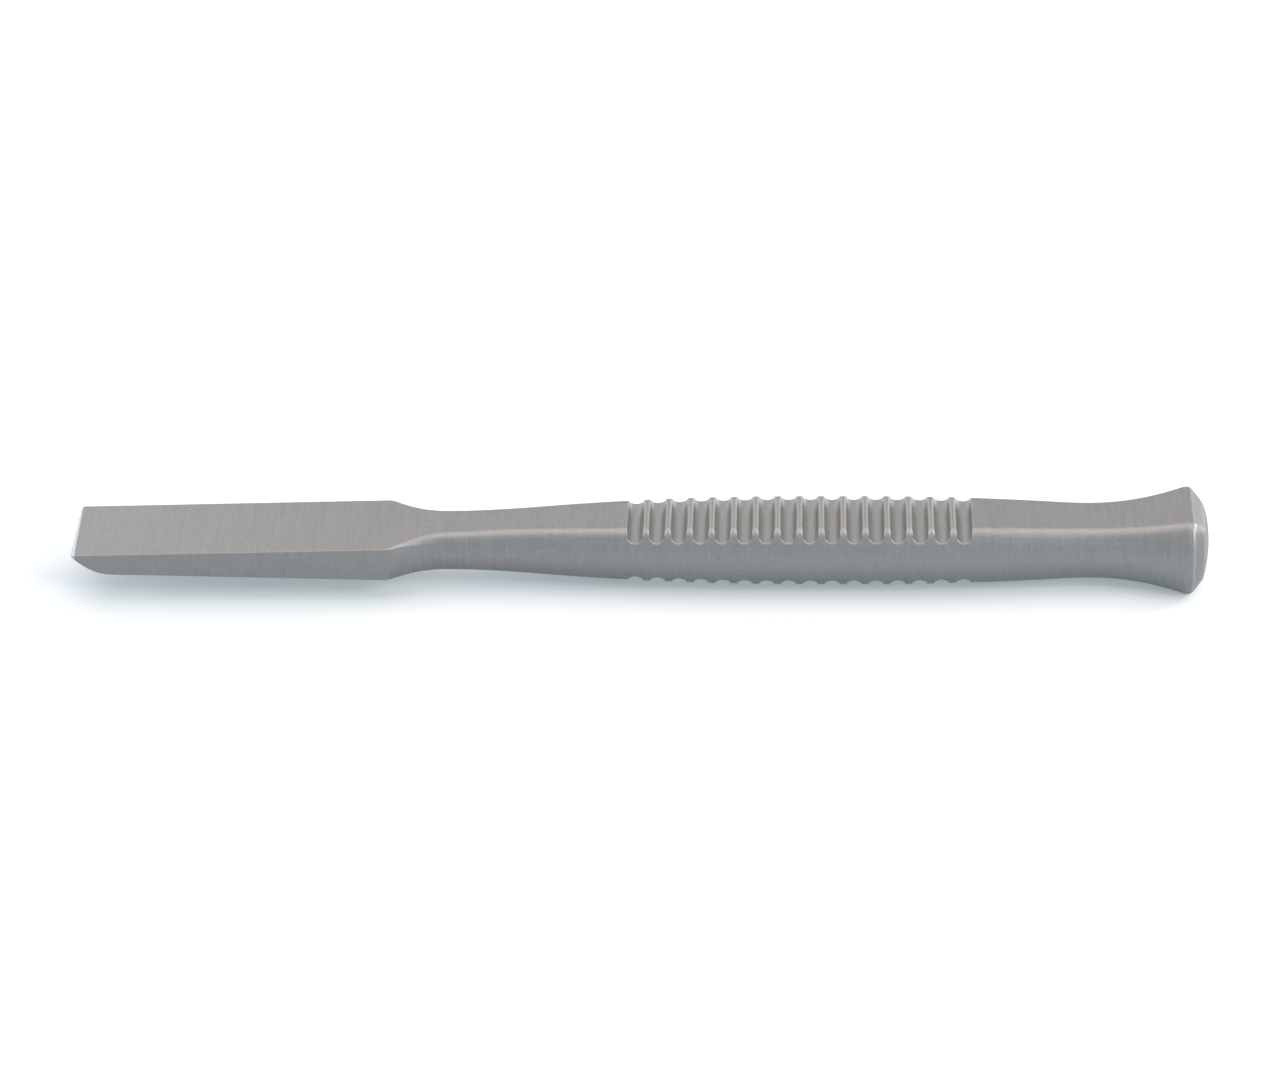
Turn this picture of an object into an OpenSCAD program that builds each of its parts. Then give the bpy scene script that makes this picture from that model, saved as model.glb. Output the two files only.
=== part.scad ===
// Bone chisel (osteotome), 10 mm, forged in one piece from stainless steel.
// The tool lies along X with its cutting edge at -X and its striking head at +X.
// Z is up, square to the flats, and the bevel is on the underside. The origin is
// on the tool's axis, halfway along it.
// The stock is turned, milled flat on both faces and cut parallel along the blade.
// Then the two flats of the grip are fluted across.

/* [Overall] */
// Length from the cutting edge to the crown of the striking face
overall_l = 125; // [104:1:150]

/* [Blade] */
// Width of the blade, which is the width of the cut
blade_w = 10; // [8:0.5:14]
// Length of the blade, from the cutting edge to the shoulder
blade_l = 35.5; // [24:0.5:44]
// Thickness of the blade's taper at the cutting edge
edge_t = 2.4; // [1.9:0.1:3]
// Thickness of the blade at the shoulder
root_t = 4.1; // [3.3:0.1:5]
// Length of the curved bevel on the underside
bevel_l = 4.2; // [3:0.1:8]
// Height of the honed land at the very edge
land_t = 0.12; // [0.05:0.01:0.3]
// Radius of the cutting edge's two corners
corner_r = 0.4; // [0.2:0.1:1]

/* [Neck] */
// Radius of the turned shoulder between the blade and the neck
shoulder_r = 12.5; // [8:0.5:20]
// Diameter of the round stock at the neck
neck_d = 6.9; // [5.7:0.1:7.6]
// Thickness over the flats at the neck
neck_t = 4.8; // [4.2:0.1:5.7]

/* [Grip] */
// Diameter of the round stock where the grip is full
belly_d = 10.1; // [9:0.1:12.2]
// Thickness over the flats where the grip is full
belly_t = 7.3; // [6.4:0.1:8.8]
// Share of the grip's length in which it swells from the neck
swell_share = 0.54; // [0.4:0.01:0.6]
// Share of the grip's length in which it falls to the waist
tail_share = 0.35; // [0.25:0.01:0.38]

/* [Flutes] */
// Number of flutes across each flat
flute_n = 16; // [8:1:19]
// Radius of each flute's round bottom
flute_r = 0.83; // [0.6:0.01:1]
// Half width of the ridge between two flutes
ridge_half = 0.37; // [0.3:0.01:0.45]

/* [Head] */
// Diameter of the round stock at the waist
waist_d = 8.6; // [7.2:0.1:9]
// Thickness over the flats at the waist
waist_t = 6.3; // [5.3:0.1:6.8]
// Distance from the waist to the head's rim
flare_run = 10.4; // [8:0.1:13]
// Diameter of the head's rim
head_d = 12.1; // [10.1:0.1:14.6]
// Thickness of the head over the flats
head_t = 9.2; // [7.6:0.1:10]
// Length of the rim's parallel stretch
rim_l = 0.7; // [0.3:0.1:2]
// Length of the chamfer behind the striking face
chamfer_l = 1.25; // [0.8:0.05:2]
// Depth of the chamfer, measured in from the rim
chamfer_in = 1.6; // [1.1:0.1:2]
// Radius of the domed striking face
dome_r = 15; // [10:0.5:40]

/* [Hidden] */

$fn = 96;
STEPS = 14;          // straight steps in each curved stretch of an outline
SPARE = 1;           // how far a cutter or an outline reaches past the stock
ROUND_HOLLOW = 0.25; // share of the swell in which the round stock is hollow
FLAT_HOLLOW = 0.1;   // share of the swell in which the flats are hollow
TAIL_FULL = 0.88;    // share of the tail in which the outline stays full

// Places along the tool, measured from the cutting edge
dome_d = head_d - 2 * chamfer_in;
dome_x = dome_at(dome_d / 2);
chamfer_x = dome_x - chamfer_l;
rim_x = chamfer_x - rim_l;
waist_x = rim_x - flare_run;
neck_step = (blade_w - neck_d) / 2;
neck_run = sqrt(2 * shoulder_r * neck_step - neck_step * neck_step);
neck_x = blade_l + neck_run;
grip_l = waist_x - neck_x;
belly_x = neck_x + swell_share * grip_l;
tail_x = waist_x - tail_share * grip_l;

// The blank round the blade is just clear of the blade's own corners
blank_d = norm([blade_w, root_t]) + 2 * SPARE;

flute_pitch = 2 * (flute_r + ridge_half);
flute_x0 = belly_x - flute_pitch * (flute_n - 1) / 2;

// Where the striking face's sphere is, at the distance r from the axis
function dome_at(r) = overall_l - dome_r + sqrt(dome_r * dome_r - r * r);

// A level start and a level finish, hollow over the first share q of the way
function ease(s, q) = s < q ? s * s / q : 1 - (1 - s) * (1 - s) / (1 - q);

// Value between a and b
function between(a, b, s) = a + (b - a) * s;

// Even steps from x0 to x1, without x0 itself
function steps(x0, x1) = [for (i = [1:STEPS]) between(x0, x1, i / STEPS)];

// Diameter of the turned stock at the place x, from the neck on
function stock_at(x) =
    x < belly_x ? between(neck_d, belly_d, ease((x - neck_x) / (belly_x - neck_x), ROUND_HOLLOW))
    : x < tail_x ? belly_d
    : x < waist_x ? between(belly_d, waist_d, ease((x - tail_x) / (waist_x - tail_x), TAIL_FULL))
    : x < rim_x ? between(waist_d, head_d, pow((x - waist_x) / flare_run, 2))
    : head_d;

// Thickness over the flats at the place x
function flats_at(x) =
    x < blade_l ? between(edge_t, root_t, x / blade_l)
    : x < neck_x ? between(root_t, neck_t, (x - blade_l) / neck_run)
    : x < belly_x ? between(neck_t, belly_t, ease((x - neck_x) / (belly_x - neck_x), FLAT_HOLLOW))
    : x < tail_x ? belly_t
    : x < waist_x ? between(belly_t, waist_t, ease((x - tail_x) / (waist_x - tail_x), TAIL_FULL))
    : x < rim_x ? between(waist_t, head_t, pow((x - waist_x) / flare_run, 2))
    : head_t;

// Places of the handle's outline, from the neck to the chamfer
handle_steps = concat(
    [neck_x], steps(neck_x, belly_x), [tail_x], steps(tail_x, waist_x),
    steps(waist_x, rim_x), [chamfer_x]
);

// The underside of the bevel: it falls from the land and runs out level with the blade
bevel_slope = (edge_t - root_t) / (2 * blade_l);
bevel_end = -flats_at(bevel_l) / 2;
bevel_bow = (edge_t / 2 - land_t - bevel_end + bevel_slope * bevel_l) / (bevel_l * bevel_l);
function bevel_at(x) = bevel_end + bevel_slope * (x - bevel_l) + bevel_bow * pow(x - bevel_l, 2);

// On the flats the chamfer runs on until it meets the striking face
flat_in = head_t / 2 - chamfer_in;
flat_slope = chamfer_in / (dome_at(flat_in) - chamfer_x);
flat_end = head_t / 2 - flat_slope * (overall_l + SPARE - chamfer_x);

// Turned outline, spun about the tool's axis. The shoulder is a true round.
module stock() {
    outline = concat(
        [[0, 0], [blank_d / 2, 0], [blank_d / 2, neck_x]],
        [for (x = handle_steps) [stock_at(x) / 2, x]],
        [for (i = [0:STEPS - 1]) let (r = dome_d / 2 * (1 - i / STEPS)) [r, dome_at(r)]],
        [[0, overall_l]]
    );
    rotate([0, 90, 0])
        rotate_extrude()
            difference() {
                polygon(outline);
                translate([neck_d / 2 + shoulder_r, neck_x]) circle(r = shoulder_r);
            }
}

// Side outline: the two flats, the bevel and the head's chamfer
module side_cut() {
    over = [for (x = concat([0, blade_l], handle_steps)) [x, flats_at(x) / 2]];
    under = [for (i = [len(over) - 1:-1:1]) [over[i][0], -over[i][1]]];
    bevel = [for (i = [STEPS:-1:0]) let (x = bevel_l * i / STEPS) [x, bevel_at(x)]];
    end = [[overall_l + SPARE, flat_end], [overall_l + SPARE, -flat_end]];
    rotate([90, 0, 0])
        linear_extrude(height = blank_d + head_d, center = true)
            polygon(concat(over, end, under, bevel));
}

// Plan outline: parallel blade with rounded corners, full width past the neck
module plan_cut() {
    half = blade_w / 2;
    corner = [for (a = steps(180, 90)) [corner_r + corner_r * cos(a), half - corner_r + corner_r * sin(a)]];
    side = concat(
        [[0, half - corner_r]], corner,
        [[neck_x, half], [neck_x, head_d], [overall_l + SPARE, head_d]]
    );
    far = [for (i = [len(side) - 1:-1:0]) [side[i][0], -side[i][1]]];
    linear_extrude(height = blank_d + head_t, center = true) polygon(concat(side, far));
}

// One flute across the upper flat: a round bottom under a mouth that opens out
module flute(x) {
    lip = flute_r + ridge_half / 2;
    translate([x, 0, flats_at(x) / 2 - ridge_half])
        rotate([90, 0, 0])
            linear_extrude(height = 2 * belly_d, center = true) {
                circle(r = flute_r);
                polygon([
                    [-flute_r * cos(15), 0], [flute_r * cos(15), 0],
                    [lip, ridge_half], [lip, ridge_half + SPARE],
                    [-lip, ridge_half + SPARE], [-lip, ridge_half]
                ]);
            }
}

// Both rows of flutes
module flutes() {
    for (side = [0, 1]) {
        mirror([0, 0, side])
            for (i = [0:flute_n - 1]) flute(flute_x0 + i * flute_pitch);
    }
}

// The whole tool, which is one forging
module chisel() {
    color("silver")
        translate([-overall_l / 2, 0, 0])
            difference() {
                intersection() {
                    stock();
                    side_cut();
                    plan_cut();
                }
                flutes();
            }
}

chisel();
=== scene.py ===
"""Satin steel bone chisel: its looks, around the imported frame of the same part.

The tool is one forging, so it is one lofted skin. The skin is made of rings square
to the tool's axis, and every ring comes from the same four outlines that the solid
model has: the turned diameter, the two flats, the bevel and the blade's width.
"""

import logging
import math
from dataclasses import dataclass
from enum import Enum
from typing import Iterable

import bmesh
import bpy
from mathutils import Matrix, Vector


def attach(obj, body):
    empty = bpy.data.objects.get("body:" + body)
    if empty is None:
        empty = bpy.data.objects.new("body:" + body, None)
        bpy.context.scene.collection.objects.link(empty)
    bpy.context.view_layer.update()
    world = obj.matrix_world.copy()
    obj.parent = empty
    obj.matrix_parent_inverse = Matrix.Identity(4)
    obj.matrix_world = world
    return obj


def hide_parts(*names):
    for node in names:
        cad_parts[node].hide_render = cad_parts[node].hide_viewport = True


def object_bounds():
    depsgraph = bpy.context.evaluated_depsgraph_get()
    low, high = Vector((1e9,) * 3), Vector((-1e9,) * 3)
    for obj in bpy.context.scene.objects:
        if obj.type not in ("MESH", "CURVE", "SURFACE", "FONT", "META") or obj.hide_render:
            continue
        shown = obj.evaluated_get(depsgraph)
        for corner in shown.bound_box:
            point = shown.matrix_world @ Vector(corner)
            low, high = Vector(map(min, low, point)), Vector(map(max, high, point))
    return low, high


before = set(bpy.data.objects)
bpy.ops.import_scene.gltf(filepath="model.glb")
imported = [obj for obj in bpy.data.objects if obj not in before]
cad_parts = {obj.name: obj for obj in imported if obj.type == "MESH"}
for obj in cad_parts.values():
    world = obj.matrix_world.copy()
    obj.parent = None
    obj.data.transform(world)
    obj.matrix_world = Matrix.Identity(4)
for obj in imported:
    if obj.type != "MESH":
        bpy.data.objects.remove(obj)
CAD_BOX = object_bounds()

MM = 0.001
CAD_NODE = "chisel"

log = logging.getLogger("bone_chisel")


def between(low: float, high: float, share: float) -> float:
    """The value that lies at a share of the way from low to high."""
    return low + (high - low) * share


def ease(share: float, hollow: float) -> float:
    """A level start and a level finish.

    Args:
        share: How far along the way, from 0 to 1.
        hollow: Share of the way in which the curve is hollow, the rest being full.

    Returns:
        How much of the rise is done.
    """
    if share < hollow:
        return share * share / hollow
    return 1 - (1 - share) ** 2 / (1 - hollow)


def soft_min(first: float, second: float, blend: float) -> float:
    """The smaller of two sizes, with the corner between them rounded off.

    Args:
        first: One size.
        second: The other size.
        blend: How near the two must be for the rounding to begin.

    Returns:
        The smaller size, or a little less near the corner.
    """
    near = max(blend - abs(first - second), 0.0) / blend
    return min(first, second) - near * near * blend / 4


def steps(start: float, end: float, pitch: float) -> list[float]:
    """Even places from start up to end, without end, no further apart than pitch."""
    count = max(1, math.ceil((end - start) / pitch))
    return [between(start, end, i / count) for i in range(count)]


@dataclass
class Blade:
    """The parallel blade with its curved bevel and honed edge. Sizes in millimetres."""

    width: float = 10.0
    length: float = 35.5
    edge_thickness: float = 2.4
    root_thickness: float = 4.1
    bevel_length: float = 4.2
    land: float = 0.12
    corner_radius: float = 0.4
    honed_length: float = 0.42
    honed_drop: float = 0.06

    def thickness(self, x: float) -> float:
        """Thickness of the plain taper at the place x."""
        return between(self.edge_thickness, self.root_thickness, x / self.length)

    def top(self, x: float) -> float:
        """Height of the unbevelled face, which dips a little where it is honed."""
        dip = self.honed_drop * max(0.0, 1 - x / self.honed_length)
        return self.thickness(x) / 2 - dip

    def underside(self, x: float) -> float:
        """Height of the underside, which is the bevel near the edge."""
        if x >= self.bevel_length:
            return -self.thickness(x) / 2
        end = -self.thickness(self.bevel_length) / 2
        slope = (self.edge_thickness - self.root_thickness) / (2 * self.length)
        start = self.edge_thickness / 2 - self.land
        bow = (start - end + slope * self.bevel_length) / self.bevel_length**2
        back = x - self.bevel_length
        return end + slope * back + bow * back * back

    def half_width(self, x: float) -> float:
        """Half the blade's width, which is rounded at the edge's two corners."""
        inward = max(0.0, self.corner_radius - x)
        cut = self.corner_radius - math.sqrt(max(self.corner_radius**2 - inward**2, 0.0))
        return self.width / 2 - cut


@dataclass
class Flutes:
    """The row of round-bottomed flutes across each flat of the grip. Sizes in millimetres."""

    count: int = 16
    radius: float = 0.83
    ridge_half: float = 0.37
    lip: float = 0.14
    middle: float = 0.0

    @property
    def pitch(self) -> float:
        """Distance from one flute to the next."""
        return 2 * (self.radius + self.ridge_half)

    @property
    def centres(self) -> list[float]:
        """Places of the flutes' middles along the tool."""
        first = self.middle - self.pitch * (self.count - 1) / 2
        return [first + i * self.pitch for i in range(self.count)]

    @property
    def start(self) -> float:
        """Where the first flute's outer wall begins to dip."""
        return self.centres[0] - self.radius - self.lip

    @property
    def end(self) -> float:
        """Where the last flute's outer wall is back on the flat."""
        return self.centres[-1] + self.radius + self.lip

    def depth(self, x: float) -> float:
        """How far the surface lies below the plain flat at the place x.

        Args:
            x: Distance from the cutting edge.

        Returns:
            Depth in millimetres, which is 0 outside the row.
        """
        if x <= self.start or x >= self.end:
            return 0.0
        nearest = min(self.centres, key=lambda centre: abs(centre - x))
        away = abs(x - nearest)
        if away < self.radius:
            return self.ridge_half + math.sqrt(self.radius**2 - away**2)
        outer = x < self.centres[0] or x > self.centres[-1]
        crest = self.lip if outer else self.ridge_half
        aside = min(1.0, max(0.0, 1 - (away - self.radius) / crest))
        return self.ridge_half * (1 - math.sqrt(1 - aside * aside))

    def flute_painted_highlight(self, x: float) -> float:
        """Painted highlight at the place x: lighter colour on the flutes' walls and ridges, standing in
        for their bright reflections; the walls get the most.
        """
        if self.depth(x) <= 0.0:
            return 0.0
        away = min(abs(x - centre) for centre in self.centres)
        if away < self.radius:
            return 0.15 + 0.85 * (away / self.radius) ** 2
        return max(0.35, 1 - (away - self.radius) / self.ridge_half)

    def places(self, wall_steps: int = 12, ridge_steps: int = 10) -> list[float]:
        """Places of the rings that follow the flutes, closest where the walls are steep.

        Args:
            wall_steps: Rings across one flute.
            ridge_steps: Rings across one ridge.

        Returns:
            Distances from the cutting edge, in order.
        """
        found: list[float] = []
        hair = 1e-4
        found += [self.start + self.lip * math.sin(math.pi / 2 * i / 5) for i in range(5)]
        for number, centre in enumerate(self.centres):
            for i in range(wall_steps + 1):
                turn = -math.pi / 2 + math.pi * i / wall_steps
                found.append(centre + (self.radius - hair) * math.sin(turn))
            if number < self.count - 1:
                ridge = centre + self.pitch / 2
                for i in range(ridge_steps + 1):
                    turn = -math.pi / 2 + math.pi * i / ridge_steps
                    found.append(ridge + (self.ridge_half - hair) * math.sin(turn))
        found += [self.end - self.lip * math.sin(math.pi / 2 * i / 5) for i in range(4, 0, -1)]
        return found


@dataclass
class Handle:
    """The neck, grip and waist, which are turned and then milled flat. Sizes in millimetres."""

    neck: float
    waist: float
    neck_diameter: float = 6.9
    neck_thickness: float = 4.8
    full_diameter: float = 10.1
    full_thickness: float = 7.3
    waist_diameter: float = 8.6
    waist_thickness: float = 6.3
    swell_share: float = 0.5475
    tail_share: float = 0.35
    round_hollow: float = 0.25
    flat_hollow: float = 0.1
    tail_full: float = 0.88

    @property
    def full_start(self) -> float:
        """Place along the tool where the grip becomes full."""
        return self.neck + self.swell_share * (self.waist - self.neck)

    @property
    def full_end(self) -> float:
        """Place along the tool where the grip begins to fall away."""
        return self.waist - self.tail_share * (self.waist - self.neck)

    def diameter(self, x: float) -> float:
        """Turned diameter at the place x, from the neck to the waist."""
        return self._outline(
            x, self.neck_diameter, self.full_diameter, self.waist_diameter, self.round_hollow
        )

    def thickness(self, x: float) -> float:
        """Thickness over the plain flats at the place x, from the neck to the waist."""
        return self._outline(
            x, self.neck_thickness, self.full_thickness, self.waist_thickness, self.flat_hollow
        )

    def _outline(self, x: float, neck: float, full: float, waist: float, hollow: float) -> float:
        """One outline of the grip.

        Args:
            x: Distance from the cutting edge.
            neck: Size at the neck.
            full: Size where the grip is full.
            waist: Size at the waist.
            hollow: Share of the swell in which the outline is hollow.

        Returns:
            The size at x.
        """
        if x < self.full_start:
            return between(neck, full, ease((x - self.neck) / (self.full_start - self.neck), hollow))
        if x < self.full_end:
            return full
        tail = (x - self.full_end) / (self.waist - self.full_end)
        return between(full, waist, ease(tail, self.tail_full))


@dataclass
class Head:
    """The flared head with its rim, chamfer and domed striking face. Sizes in millimetres."""

    crown: float = 125.0
    diameter: float = 12.1
    thickness: float = 9.2
    rim_length: float = 0.7
    flare_length: float = 10.4
    chamfer_length: float = 1.25
    chamfer_depth: float = 1.6
    dome_radius: float = 15.0
    edge_blend: float = 0.3
    face_blend: float = 0.12

    @property
    def dome_rim_radius(self) -> float:
        """Radius of the striking face where the chamfer meets it."""
        return self.diameter / 2 - self.chamfer_depth

    @property
    def dome_rim(self) -> float:
        """Place along the tool where the chamfer meets the striking face."""
        return self.dome_at(self.dome_rim_radius)

    @property
    def chamfer_start(self) -> float:
        """Place along the tool where the chamfer begins."""
        return self.dome_rim - self.chamfer_length

    @property
    def rim_start(self) -> float:
        """Place along the tool where the flare ends in the rim."""
        return self.chamfer_start - self.rim_length

    @property
    def waist(self) -> float:
        """Place along the tool where the flare begins."""
        return self.rim_start - self.flare_length

    @property
    def flat_slope(self) -> float:
        """Fall of the chamfer on the flats, for each millimetre along the tool."""
        inner = self.thickness / 2 - self.chamfer_depth
        return self.chamfer_depth / (self.dome_at(inner) - self.chamfer_start)

    def dome_at(self, radius: float) -> float:
        """Place along the tool where the striking face is, at a radius from the axis."""
        rise = math.sqrt(self.dome_radius**2 - radius**2)
        return self.crown - self.dome_radius + rise

    def rim_radius(self, x: float) -> float:
        """Radius of the rim, its chamfer and the striking face at the place x."""
        slope = self.chamfer_depth / self.chamfer_length
        cone = self.diameter / 2 - (x - self.chamfer_start) * slope
        reach = self.dome_radius**2 - (x - self.crown + self.dome_radius) ** 2
        dome = math.sqrt(max(reach, 0.0))
        return soft_min(soft_min(self.diameter / 2, cone, self.edge_blend), dome, self.face_blend)

    def rim_half(self, x: float) -> float:
        """Half the thickness of the rim and its chamfer over the flats at the place x."""
        cone = self.thickness / 2 - (x - self.chamfer_start) * self.flat_slope
        return soft_min(self.thickness / 2, cone, self.edge_blend)

    def rim_wear_and_highlight(self, x: float) -> float:
        """Real mallet wear plus a painted highlight on the rim's two edges at the place x."""
        away = min(abs(x - self.chamfer_start), abs(x - self.dome_rim))
        return 0.55 * max(0.0, 1 - away / 0.22)

    def cap(self, y: float, z: float) -> float:
        """Place along the tool of the end face, at a point (y, z) square to the axis."""
        facet = self.chamfer_start + (self.thickness / 2 - abs(z)) / self.flat_slope
        return soft_min(self.dome_at(math.hypot(y, z)), facet, self.face_blend)


class Face(Enum):
    """The two milled faces of the tool."""

    UPPER = 1
    LOWER = -1


@dataclass(frozen=True)
class RingGrid:
    """How many points each stretch of a quarter ring has."""

    face: int = 12
    corner: int = 5
    wall: int = 8
    flank: int = 6


@dataclass
class Ring:
    """One section of the tool, square to its axis. Sizes in millimetres.

    The section is a disc between two flats, and the blade also has two flat sides.
    Its corners are rounded.
    """

    upper: float
    lower: float
    plain_upper: float
    plain_lower: float
    radius: float
    half_width: float
    corner: float
    # Painted highlight on the flutes, and real wear with a painted highlight on the rounded corners.
    flute_painted_highlight: float = 0.0
    corner_wear_and_highlight: float = 0.12
    side_blend: float = 0.35

    @property
    def middle(self) -> float:
        """Height halfway between the two faces, flutes left out."""
        return (self.plain_upper + self.plain_lower) / 2

    def side(self, z: float) -> float:
        """Distance from the middle plane out to the side, at the height z."""
        reach = math.sqrt(max(self.radius**2 - z * z, 0.0))
        return soft_min(reach, self.half_width, self.side_blend)

    def quarter(self, face: Face, grid: RingGrid) -> list[tuple[float, float, float]]:
        """Outline from the middle of one face round to the side's middle height.

        Args:
            face: The face that the outline starts on.
            grid: How many points each stretch has.

        Returns:
            Points (y, z, mark) with y never negative. The mark, real wear plus painted highlight, is 1
            on a rounded corner; on the face it is the flutes' painted highlight.
        """
        height = self.upper if face is Face.UPPER else self.lower
        plain = self.plain_upper if face is Face.UPPER else self.plain_lower
        half = abs(height - self.middle)
        turn = min(self.corner, 0.42 * half)
        edge = self.side(height)
        below = height - face.value * turn
        points = []
        for i in range(grid.face):
            y = (edge - turn) * math.sin(math.pi / 2 * i / grid.face)
            points.append((y, height, self.flute_painted_highlight))
        start, control, finish = (edge - turn, height), (edge, height), (self.side(below), below)
        for i in range(grid.corner + 1):
            t = i / grid.corner
            y, z = (
                (1 - t) ** 2 * a + 2 * t * (1 - t) * b + t * t * c
                for a, b, c in zip(start, control, finish)
            )
            # Rounded corner: real wear plus painted highlight; on the flutes: painted highlight.
            rounded_wear_and_highlight = self.corner_wear_and_highlight * math.sin(math.pi * t)
            points.append((y, z, max(rounded_wear_and_highlight, self.flute_painted_highlight * (1 - t))))
        fixed = self.middle + face.value * min(0.5 * abs(plain - self.middle), 0.5 * half)
        for i in range(1, grid.wall + 1):
            z = between(below, fixed, 1 - math.cos(math.pi / 2 * i / grid.wall))
            points.append((self.side(z), z, 0.0))
        for i in range(1, grid.flank):
            z = between(fixed, self.middle, i / grid.flank)
            points.append((self.side(z), z, 0.0))
        return points

    def outline(self, grid: RingGrid) -> list[tuple[float, float, float]]:
        """The whole ring, from the middle of the upper face round and back to it."""
        right = self.quarter(Face.UPPER, grid)
        right.append((self.side(self.middle), self.middle, 0.0))
        right += reversed(self.quarter(Face.LOWER, grid))
        left = [(-y, z, wear_and_highlight) for y, z, wear_and_highlight in reversed(right[1:-1])]
        return right + left


@dataclass(frozen=True)
class SatinSteel:
    """Bead-blasted stainless steel. Lighter edges are part real wear and part painted highlight, lighter
    flute walls are painted highlight, and the honed edge has a painted glint.
    """

    name: str = "satin_steel"
    colour: tuple[float, float, float] = (0.233, 0.244, 0.252)
    wear_and_highlight_colour: tuple[float, float, float] = (0.40, 0.40, 0.395)
    honed_colour: tuple[float, float, float] = (0.40, 0.43, 0.48)
    mottle: float = 0.30
    speck_depth: float = 0.22
    speck_level: float = 0.79
    roughness: float = 0.44
    wear_and_highlight_roughness: float = 0.42
    honed_roughness: float = 0.20
    grain_size: float = 0.11
    mottle_size: float = 0.40
    speck_size: float = 0.20
    lay_size: float = 0.16
    lay_length: float = 5.0
    grain_height: float = 0.010
    lay_height: float = 0.006

    def make(self) -> bpy.types.Material:
        """Builds the material.

        Returns:
            A node material that reads two mesh attributes: edge wear with painted highlight, and the
            honed edge with its painted glint.
        """
        material = bpy.data.materials.new(self.name)
        material.use_nodes = True
        tree = material.node_tree
        shader = tree.nodes["Principled BSDF"]
        shader.inputs["Metallic"].default_value = 1.0
        place = tree.nodes.new("ShaderNodeTexCoord").outputs["Object"]
        mottle = self._noise(tree, place, (1 / self.mottle_size,) * 3, 3.0)
        lay = self._noise(
            tree, place, (1 / self.lay_size, 1 / self.lay_length, 1 / self.lay_length), 2.0
        )
        grain = self._noise(tree, place, (1 / self.grain_size,) * 3, 2.0)
        wear_and_highlight = self._attribute(tree, "wear_and_highlight_mask")
        honed = self._attribute(tree, "honed")

        patch = self._math(tree, "MULTIPLY_ADD", mottle, 0.5, self._math(tree, "MULTIPLY", lay, 0.5))
        dark = tuple(channel * (1 - self.mottle) for channel in self.colour)
        light = tuple(channel * (1 + self.mottle) for channel in self.colour)
        colour = self._mix_colour(tree, patch, dark, light)
        speck = self._noise(tree, place, (1 / self.speck_size,) * 3, 0.0)
        speck = self._math(tree, "GREATER_THAN", speck, self.speck_level)
        pit = tuple(channel * (1 - self.speck_depth) for channel in self.colour)
        colour = self._mix_colour(tree, speck, colour, pit)
        # Lighter colour: real edge wear plus painted highlight, and painted highlight on the flute walls
        # and ridges.
        colour = self._mix_colour(tree, wear_and_highlight, colour, self.wear_and_highlight_colour)
        # Lighter, bluish colour on the honed strip: a painted glint on a real honed edge.
        colour = self._mix_colour(tree, honed, colour, self.honed_colour)
        tree.links.new(colour, shader.inputs["Base Color"])

        spread = 0.06
        rough = self._math(tree, "MULTIPLY_ADD", patch, 2 * spread, self.roughness - spread)
        rough = self._mix_value(tree, wear_and_highlight, rough, self.wear_and_highlight_roughness)
        rough = self._mix_value(tree, honed, rough, self.honed_roughness)
        tree.links.new(rough, shader.inputs["Roughness"])

        fine = self._bump(tree, grain, self.grain_height, None)
        tree.links.new(self._bump(tree, lay, self.lay_height, fine), shader.inputs["Normal"])
        return material

    @staticmethod
    def _noise(
        tree: bpy.types.NodeTree,
        place: bpy.types.NodeSocket,
        waves: tuple[float, float, float],
        detail: float,
    ) -> bpy.types.NodeSocket:
        """Noise over the object.

        Args:
            tree: The material's nodes.
            place: Object coordinates, in metres.
            waves: Waves per millimetre along X, Y and Z.
            detail: Octaves of finer noise.

        Returns:
            The noise, from 0 to 1.
        """
        scale = tree.nodes.new("ShaderNodeVectorMath")
        scale.operation = "MULTIPLY"
        scale.inputs[1].default_value = tuple(wave / MM for wave in waves)
        noise = tree.nodes.new("ShaderNodeTexNoise")
        noise.inputs["Scale"].default_value = 1.0
        noise.inputs["Detail"].default_value = detail
        noise.inputs["Roughness"].default_value = 0.55
        tree.links.new(place, scale.inputs[0])
        tree.links.new(scale.outputs[0], noise.inputs["Vector"])
        return noise.outputs["Fac"]

    @staticmethod
    def _attribute(tree: bpy.types.NodeTree, name: str) -> bpy.types.NodeSocket:
        """The value of a mesh attribute."""
        node = tree.nodes.new("ShaderNodeAttribute")
        node.attribute_name = name
        return node.outputs["Fac"]

    @staticmethod
    def _math(
        tree: bpy.types.NodeTree, operation: str, *values: "bpy.types.NodeSocket | float"
    ) -> bpy.types.NodeSocket:
        """A sum of sockets and numbers."""
        node = tree.nodes.new("ShaderNodeMath")
        node.operation = operation
        for socket, value in zip(node.inputs, values):
            if isinstance(value, (int, float)):
                socket.default_value = value
            else:
                tree.links.new(value, socket)
        return node.outputs[0]

    @staticmethod
    def _mix_colour(
        tree: bpy.types.NodeTree,
        share: bpy.types.NodeSocket,
        first: "bpy.types.NodeSocket | tuple[float, float, float]",
        second: tuple[float, float, float],
    ) -> bpy.types.NodeSocket:
        """A colour between two, by a share from 0 to 1."""
        node = tree.nodes.new("ShaderNodeMix")
        node.data_type = "RGBA"
        tree.links.new(share, node.inputs["Factor"])
        if isinstance(first, tuple):
            node.inputs[6].default_value = (*first, 1.0)
        else:
            tree.links.new(first, node.inputs[6])
        node.inputs[7].default_value = (*second, 1.0)
        return node.outputs[2]

    @staticmethod
    def _mix_value(
        tree: bpy.types.NodeTree,
        share: bpy.types.NodeSocket,
        first: bpy.types.NodeSocket,
        second: float,
    ) -> bpy.types.NodeSocket:
        """A number between two, by a share from 0 to 1."""
        node = tree.nodes.new("ShaderNodeMix")
        tree.links.new(share, node.inputs["Factor"])
        tree.links.new(first, node.inputs[2])
        node.inputs[3].default_value = second
        return node.outputs[0]

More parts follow.
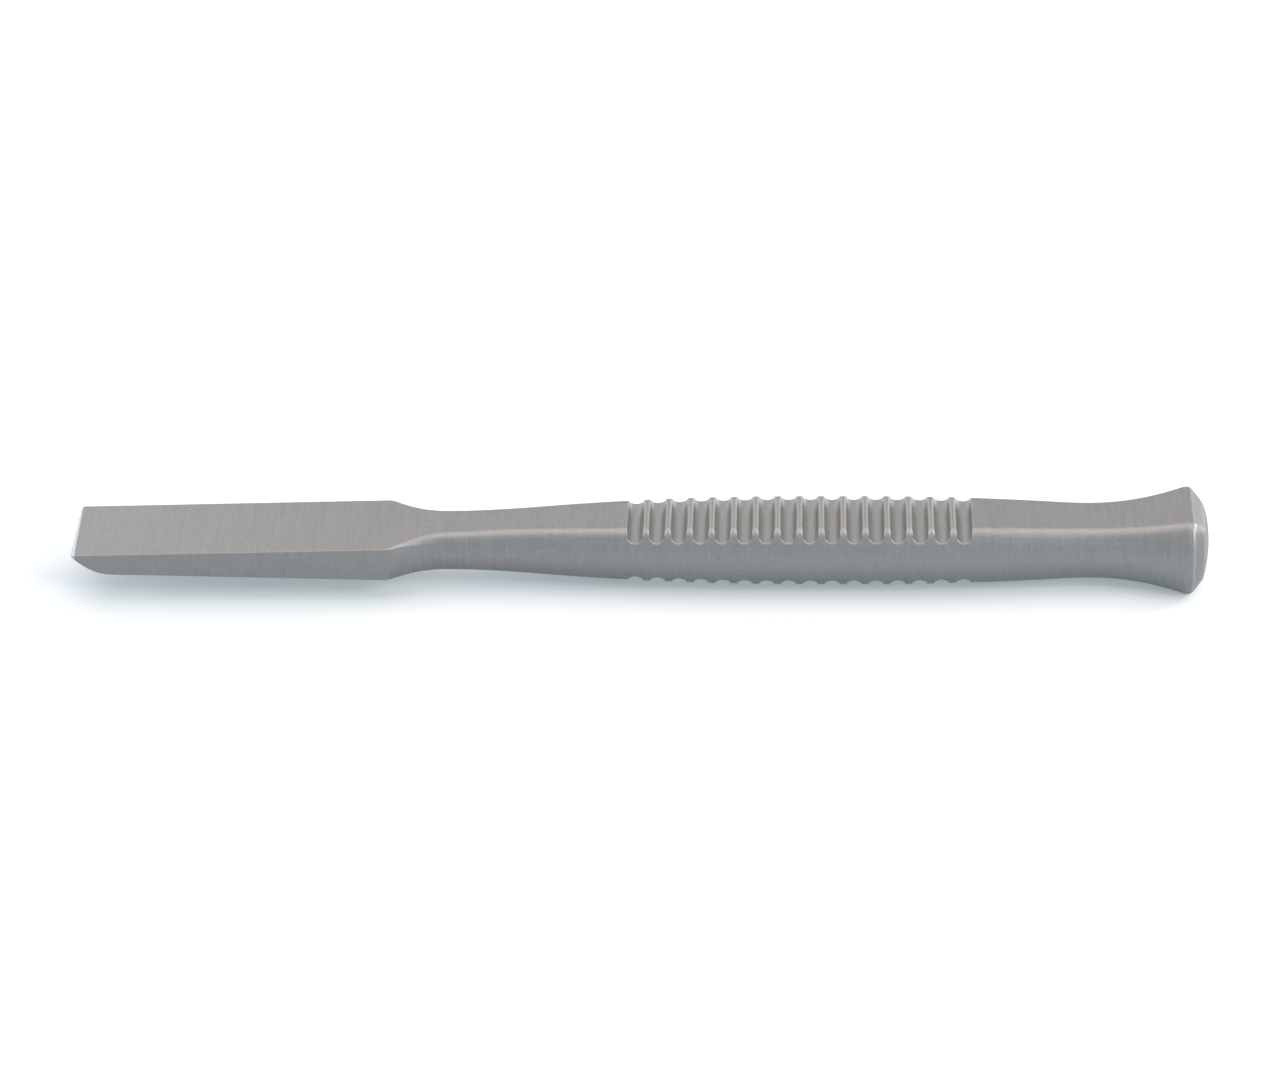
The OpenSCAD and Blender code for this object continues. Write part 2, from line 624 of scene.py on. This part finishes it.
    @staticmethod
    def _bump(
        tree: bpy.types.NodeTree,
        height: bpy.types.NodeSocket,
        depth: float,
        under: bpy.types.NodeSocket | None,
    ) -> bpy.types.NodeSocket:
        """A bump of that depth in millimetres, on top of another one."""
        node = tree.nodes.new("ShaderNodeBump")
        node.inputs["Distance"].default_value = depth * MM
        tree.links.new(height, node.inputs["Height"])
        if under is not None:
            tree.links.new(under, node.inputs["Normal"])
        return node.outputs["Normal"]


class Forging:
    """The whole tool: its outlines, its skin and its finish."""

    def __init__(self, length: float, finish: SatinSteel, shoulder_radius: float = 12.5) -> None:
        """Lays out the tool.

        Args:
            length: Overall length in millimetres.
            finish: The steel's finish.
            shoulder_radius: Radius of the turned shoulder in millimetres.
        """
        self.length = length
        self.finish = finish
        self.shoulder_radius = shoulder_radius
        self.blade = Blade()
        self.head = Head(crown=length)
        step = (self.blade.width - Handle.neck_diameter) / 2
        neck = self.blade.length + math.sqrt(2 * shoulder_radius * step - step * step)
        self.handle = Handle(neck=neck, waist=self.head.waist)
        self.flutes = Flutes(middle=self.handle.full_start)

    def radius(self, x: float) -> float:
        """Radius of the turned stock at the place x."""
        handle, head = self.handle, self.head
        if x < handle.neck:
            away = min(handle.neck - x, self.shoulder_radius)
            rise = self.shoulder_radius - math.sqrt(self.shoulder_radius**2 - away**2)
            return handle.neck_diameter / 2 + rise
        if x < handle.waist:
            return handle.diameter(x) / 2
        if x < head.rim_start:
            share = (x - handle.waist) / head.flare_length
            return between(handle.waist_diameter, head.diameter, share * share) / 2
        return head.rim_radius(x)

    def plain_half(self, x: float) -> float:
        """Half the thickness over the plain flats at the place x, bevel and flutes left out."""
        blade, handle, head = self.blade, self.handle, self.head
        if x < blade.length:
            return blade.thickness(x) / 2
        if x < handle.neck:
            share = (x - blade.length) / (handle.neck - blade.length)
            return between(blade.root_thickness, handle.neck_thickness, share) / 2
        if x < handle.waist:
            return handle.thickness(x) / 2
        if x < head.rim_start:
            share = (x - handle.waist) / head.flare_length
            return between(handle.waist_thickness, head.thickness, share * share) / 2
        return head.rim_half(x)

    def ring(self, x: float) -> Ring:
        """The section at the place x."""
        blade = self.blade
        half = self.plain_half(x)
        if x < blade.length:
            upper, lower = blade.top(x), blade.underside(x)
            return Ring(
                upper, lower, upper, lower, self.radius(x), blade.half_width(x), corner=0.16
            )
        depth = self.flutes.depth(x)
        width = blade.width / 2 if x < self.handle.neck else self.length
        bare = max(0.0, 1 - depth / self.flutes.ridge_half)
        corner = between(0.13, between(0.16, 0.60, min(1.0, (x - blade.length) / 3)), bare)
        # Painted highlight: lighter colour on the flutes' walls and ridges.
        flute_painted_highlight = self.flutes.flute_painted_highlight(x)
        return Ring(half - depth, depth - half, half, -half, self.radius(x), width, corner, flute_painted_highlight)

    def places(self) -> list[float]:
        """Places of all the rings along the tool, closer together where it turns."""
        blade, handle, head, flutes = self.blade, self.handle, self.head, self.flutes
        shoulder = blade.length - 1.5
        found = [
            *steps(0.0, blade.corner_radius, 0.04),
            *steps(blade.corner_radius, blade.bevel_length, 0.12),
            *steps(blade.bevel_length, shoulder, 0.6),
            *steps(shoulder, handle.neck, 0.12),
            *steps(handle.neck, flutes.start, 0.35),
            *flutes.places(),
            *steps(flutes.end, handle.waist, 0.35),
            *steps(handle.waist, head.rim_start, 0.22),
            *steps(head.rim_start, head.dome_rim, 0.045),
            head.dome_rim,
        ]
        return found

    def _skin(self, grid: RingGrid, cap_rings: int) -> tuple[list[Vector], list[float], int]:
        """Points of the skin, ring after ring.

        Args:
            grid: How many points each stretch of a ring has.
            cap_rings: Rings across the striking face.

        Returns:
            The points, the wear and painted highlight at each, and the number of points in a ring.
        """
        points: list[Vector] = []
        wear_and_highlight: list[float] = []
        outline: list[tuple[float, float, float]] = []
        for x in self.places():
            outline = self.ring(x).outline(grid)
            points += [Vector((x, y, z)) for y, z, _ in outline]
            # Rim edges: real wear plus painted highlight.
            wear_and_highlight += [max(value, self.head.rim_wear_and_highlight(x)) for _, _, value in outline]
        for i in range(1, cap_rings):
            share = 1 - i / cap_rings
            for y, z, value in outline:
                x = self.head.cap(share * y, share * z)
                points.append(Vector((x, share * y, share * z)))
                wear_and_highlight.append(value * max(0.0, 1 - 2 * i))
        return points, wear_and_highlight, len(outline)

    def build(self, grid: RingGrid = RingGrid(), cap_rings: int = 26) -> bpy.types.Object:
        """Makes the skin as one closed mesh.

        Args:
            grid: How many points each stretch of a ring has.
            cap_rings: Rings across the striking face.

        Returns:
            The finished piece, in the frame's own place.
        """
        points, wear_and_highlight, count = self._skin(grid, cap_rings)
        mesh = bmesh.new()
        # Honed strip with its painted glint.
        honed = [self.honed(point) for point in points]
        shift = Vector((-self.length / 2, 0, 0))
        verts = [mesh.verts.new((point + shift) * MM) for point in points]
        crown = mesh.verts.new((Vector((self.length, 0, 0)) + shift) * MM)
        rings = len(verts) // count
        for ring in range(rings - 1):
            for i in range(count):
                a, b = ring * count + i, ring * count + (i + 1) % count
                mesh.faces.new((verts[a], verts[b], verts[b + count], verts[a + count]))
        last = (rings - 1) * count
        for i in range(count):
            mesh.faces.new((verts[last + i], verts[last + (i + 1) % count], crown))
        for i in range(1, count // 2):
            a, b = i, (i + 1) % count
            mesh.faces.new([verts[k] for k in dict.fromkeys((b, a, count - a, (count - b) % count))])
        mesh.faces.new((verts[1], verts[0], verts[count - 1]))
        bmesh.ops.recalc_face_normals(mesh, faces=mesh.faces)
        data = bpy.data.meshes.new("chisel_skin")
        mesh.to_mesh(data)
        mesh.free()
        # Mesh attributes: real wear with painted highlight, and the honed strip with its painted glint.
        for name, values in (("wear_and_highlight_mask", wear_and_highlight), ("honed", honed)):
            layer = data.attributes.new(name, "FLOAT", "POINT")
            layer.data.foreach_set("value", [*values, 0.0])
        data.shade_smooth()
        piece = bpy.data.objects.new("chisel_body", data)
        bpy.context.scene.collection.objects.link(piece)
        log.info("%s: %d rings of %d points", piece.name, rings, count)
        return piece

    def honed(self, point: Vector) -> float:
        """How far a point of the skin is honed and carries a painted glint, which fades out over the far
        half of the edge.
        """
        blade = self.blade
        across = between(1.0, 0.35, (point.y + blade.width / 2) / blade.width)
        return 1.0 if point.x < blade.honed_length * across else 0.0

    def dress(self, piece: bpy.types.Object) -> None:
        """Gives the piece its steel and ties it to the frame."""
        piece.data.materials.append(self.finish.make())
        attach(piece, "root")
        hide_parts(CAD_NODE)
        log.info("%s: %s", piece.name, self.finish.name)


@dataclass
class Lamp:
    """One soft lamp of the studio. Places and sizes in metres."""

    name: str
    place: tuple[float, float, float]
    size: tuple[float, float]
    watts: float
    colour: tuple[float, float, float]

    def build(self) -> bpy.types.Object:
        """Makes the lamp, aimed at the tool's middle."""
        data = bpy.data.lights.new(self.name, "AREA")
        data.shape = "RECTANGLE"
        data.size, data.size_y = self.size
        data.energy = self.watts
        data.color = self.colour
        lamp = bpy.data.objects.new(self.name, data)
        lamp.location = self.place
        lamp.rotation_euler = (-Vector(self.place)).to_track_quat("-Z", "Y").to_euler()
        bpy.context.scene.collection.objects.link(lamp)
        log.info("%s: lamp of %.1f W", self.name, self.watts)
        return lamp


@dataclass
class Studio:
    """A plain pale floor under plain soft light. Sizes in metres."""

    floor_height: float
    floor_size: float = 4.0
    floor_colour: tuple[float, float, float] = (0.97, 0.92, 0.88)
    floor_lift: float = 0.27
    lift_colour: tuple[float, float, float] = (0.90, 0.99, 1.0)
    sky_light: float = 0.40
    sky_colour: tuple[float, float, float] = (0.50, 0.92, 1.30)

    lamps: tuple[Lamp, ...] = (
        Lamp("overhead_softbox", (0.04, 0.20, 0.74), (1.30, 0.85), 3.5, (1.25, 0.98, 0.82)),
        Lamp("tip_softbox", (-0.13, 0.18, 0.12), (0.09, 0.09), 0.022, (1.0, 0.97, 0.93)),
        Lamp("head_softbox", (0.62, 0.30, 0.24), (0.30, 0.30), 1.8, (1.0, 0.95, 0.88)),
        Lamp("shoulder_softbox", (0.50, -0.30, 0.42), (0.30, 0.30), 1.7, (1.0, 0.92, 0.82)),
        Lamp("left_softbox", (-0.70, 0.05, 0.30), (0.30, 0.30), 0.5, (1.0, 0.95, 0.88)),
    )

    def build(self) -> None:
        """Makes the floor, the lamps and the sky."""
        self._floor()
        for lamp in self.lamps:
            lamp.build()
        self._sky()
        bpy.context.scene.view_settings.view_transform = "Standard"

    @staticmethod
    def _seen(tree: bpy.types.NodeTree) -> bpy.types.NodeSocket:
        """1 for rays that show the background: the camera's, mirrored and passed-through ones."""
        path = tree.nodes.new("ShaderNodeLightPath")
        seen = path.outputs["Is Camera Ray"]
        for name in ("Is Glossy Ray", "Is Transmission Ray"):
            node = tree.nodes.new("ShaderNodeMath")
            node.operation = "MAXIMUM"
            tree.links.new(seen, node.inputs[0])
            tree.links.new(path.outputs[name], node.inputs[1])
            seen = node.outputs[0]
        return seen

    def _floor(self) -> None:
        """Makes a pale matt floor that looks nearly white and keeps the tool's shadow."""
        half = self.floor_size / 2
        corners = [(-half, -half), (half, -half), (half, half), (-half, half)]
        data = bpy.data.meshes.new("floor")
        data.from_pydata([(x, y, self.floor_height) for x, y in corners], [], [(0, 1, 2, 3)])
        material = bpy.data.materials.new("pale_floor")
        material.use_nodes = True
        tree = material.node_tree
        tree.nodes.clear()
        matt = tree.nodes.new("ShaderNodeBsdfDiffuse")
        matt.inputs["Color"].default_value = (*self.floor_colour, 1.0)
        lift = tree.nodes.new("ShaderNodeEmission")
        lift.inputs["Color"].default_value = (*self.lift_colour, 1.0)
        both = tree.nodes.new("ShaderNodeAddShader")
        strength = tree.nodes.new("ShaderNodeMath")
        strength.operation = "MULTIPLY"
        strength.inputs[1].default_value = self.floor_lift
        out = tree.nodes.new("ShaderNodeOutputMaterial")
        tree.links.new(self._seen(tree), strength.inputs[0])
        tree.links.new(strength.outputs[0], lift.inputs["Strength"])
        tree.links.new(matt.outputs[0], both.inputs[0])
        tree.links.new(lift.outputs[0], both.inputs[1])
        tree.links.new(both.outputs[0], out.inputs["Surface"])
        data.materials.append(material)
        floor = bpy.data.objects.new("floor", data)
        bpy.context.scene.collection.objects.link(floor)
        log.info("floor: %.1f m square", self.floor_size)

    def _sky(self) -> None:
        """Makes the white surroundings, which light the tool softly."""
        world = bpy.data.worlds.new("white_room")
        bpy.context.scene.world = world
        world.use_nodes = True
        tree = world.node_tree
        tree.nodes.clear()
        light = tree.nodes.new("ShaderNodeBackground")
        light.inputs["Color"].default_value = (*self.sky_colour, 1.0)
        light.inputs["Strength"].default_value = self.sky_light
        white = tree.nodes.new("ShaderNodeBackground")
        white.inputs["Color"].default_value = (1.0, 1.0, 1.0, 1.0)
        mix = tree.nodes.new("ShaderNodeMixShader")
        out = tree.nodes.new("ShaderNodeOutputWorld")
        tree.links.new(self._seen(tree), mix.inputs["Fac"])
        tree.links.new(light.outputs[0], mix.inputs[1])
        tree.links.new(white.outputs[0], mix.inputs[2])
        tree.links.new(mix.outputs[0], out.inputs["Surface"])


@dataclass(frozen=True)
class Viewpoint:
    """The camera's place: it looks down on the near side of the tool. Angles in degrees."""

    target: tuple[float, float, float] = (0.0, 0.0, 0.0)
    elevation: float = 33.86
    swing: float = 2.62
    roll: float = -1.45
    distance: float = 0.4973
    lens: float = 126.65

    def build(self) -> bpy.types.Object:
        """Makes the scene's camera.

        Returns:
            The camera's object.
        """
        up, across = math.radians(self.elevation), math.radians(self.swing)
        back = Vector(
            (
                math.sin(across) * math.cos(up),
                -math.cos(across) * math.cos(up),
                math.sin(up),
            )
        )
        data = bpy.data.cameras.new("camera")
        data.lens = self.lens
        data.clip_start = 0.01
        camera = bpy.data.objects.new("camera", data)
        aim = (-back).to_track_quat("-Z", "Y").to_matrix().to_4x4()
        turn = Matrix.Rotation(math.radians(self.roll), 4, "Z")
        camera.matrix_world = Matrix.Translation(Vector(self.target) + back * self.distance) @ aim @ turn
        bpy.context.scene.collection.objects.link(camera)
        bpy.context.scene.camera = camera
        log.info("camera: %.0f mm lens, %.1f degrees above the tool", self.lens, self.elevation)
        return camera


def main() -> None:
    """Builds the camera, the tool and the studio, in that order."""
    logging.basicConfig(level=logging.INFO, format="%(name)s: %(message)s")
    low, high = CAD_BOX
    Viewpoint().build()
    forging = Forging(length=(high.x - low.x) / MM, finish=SatinSteel())
    forging.dress(forging.build())
    Studio(floor_height=low.z).build()


if __name__ == "__main__":
    main()
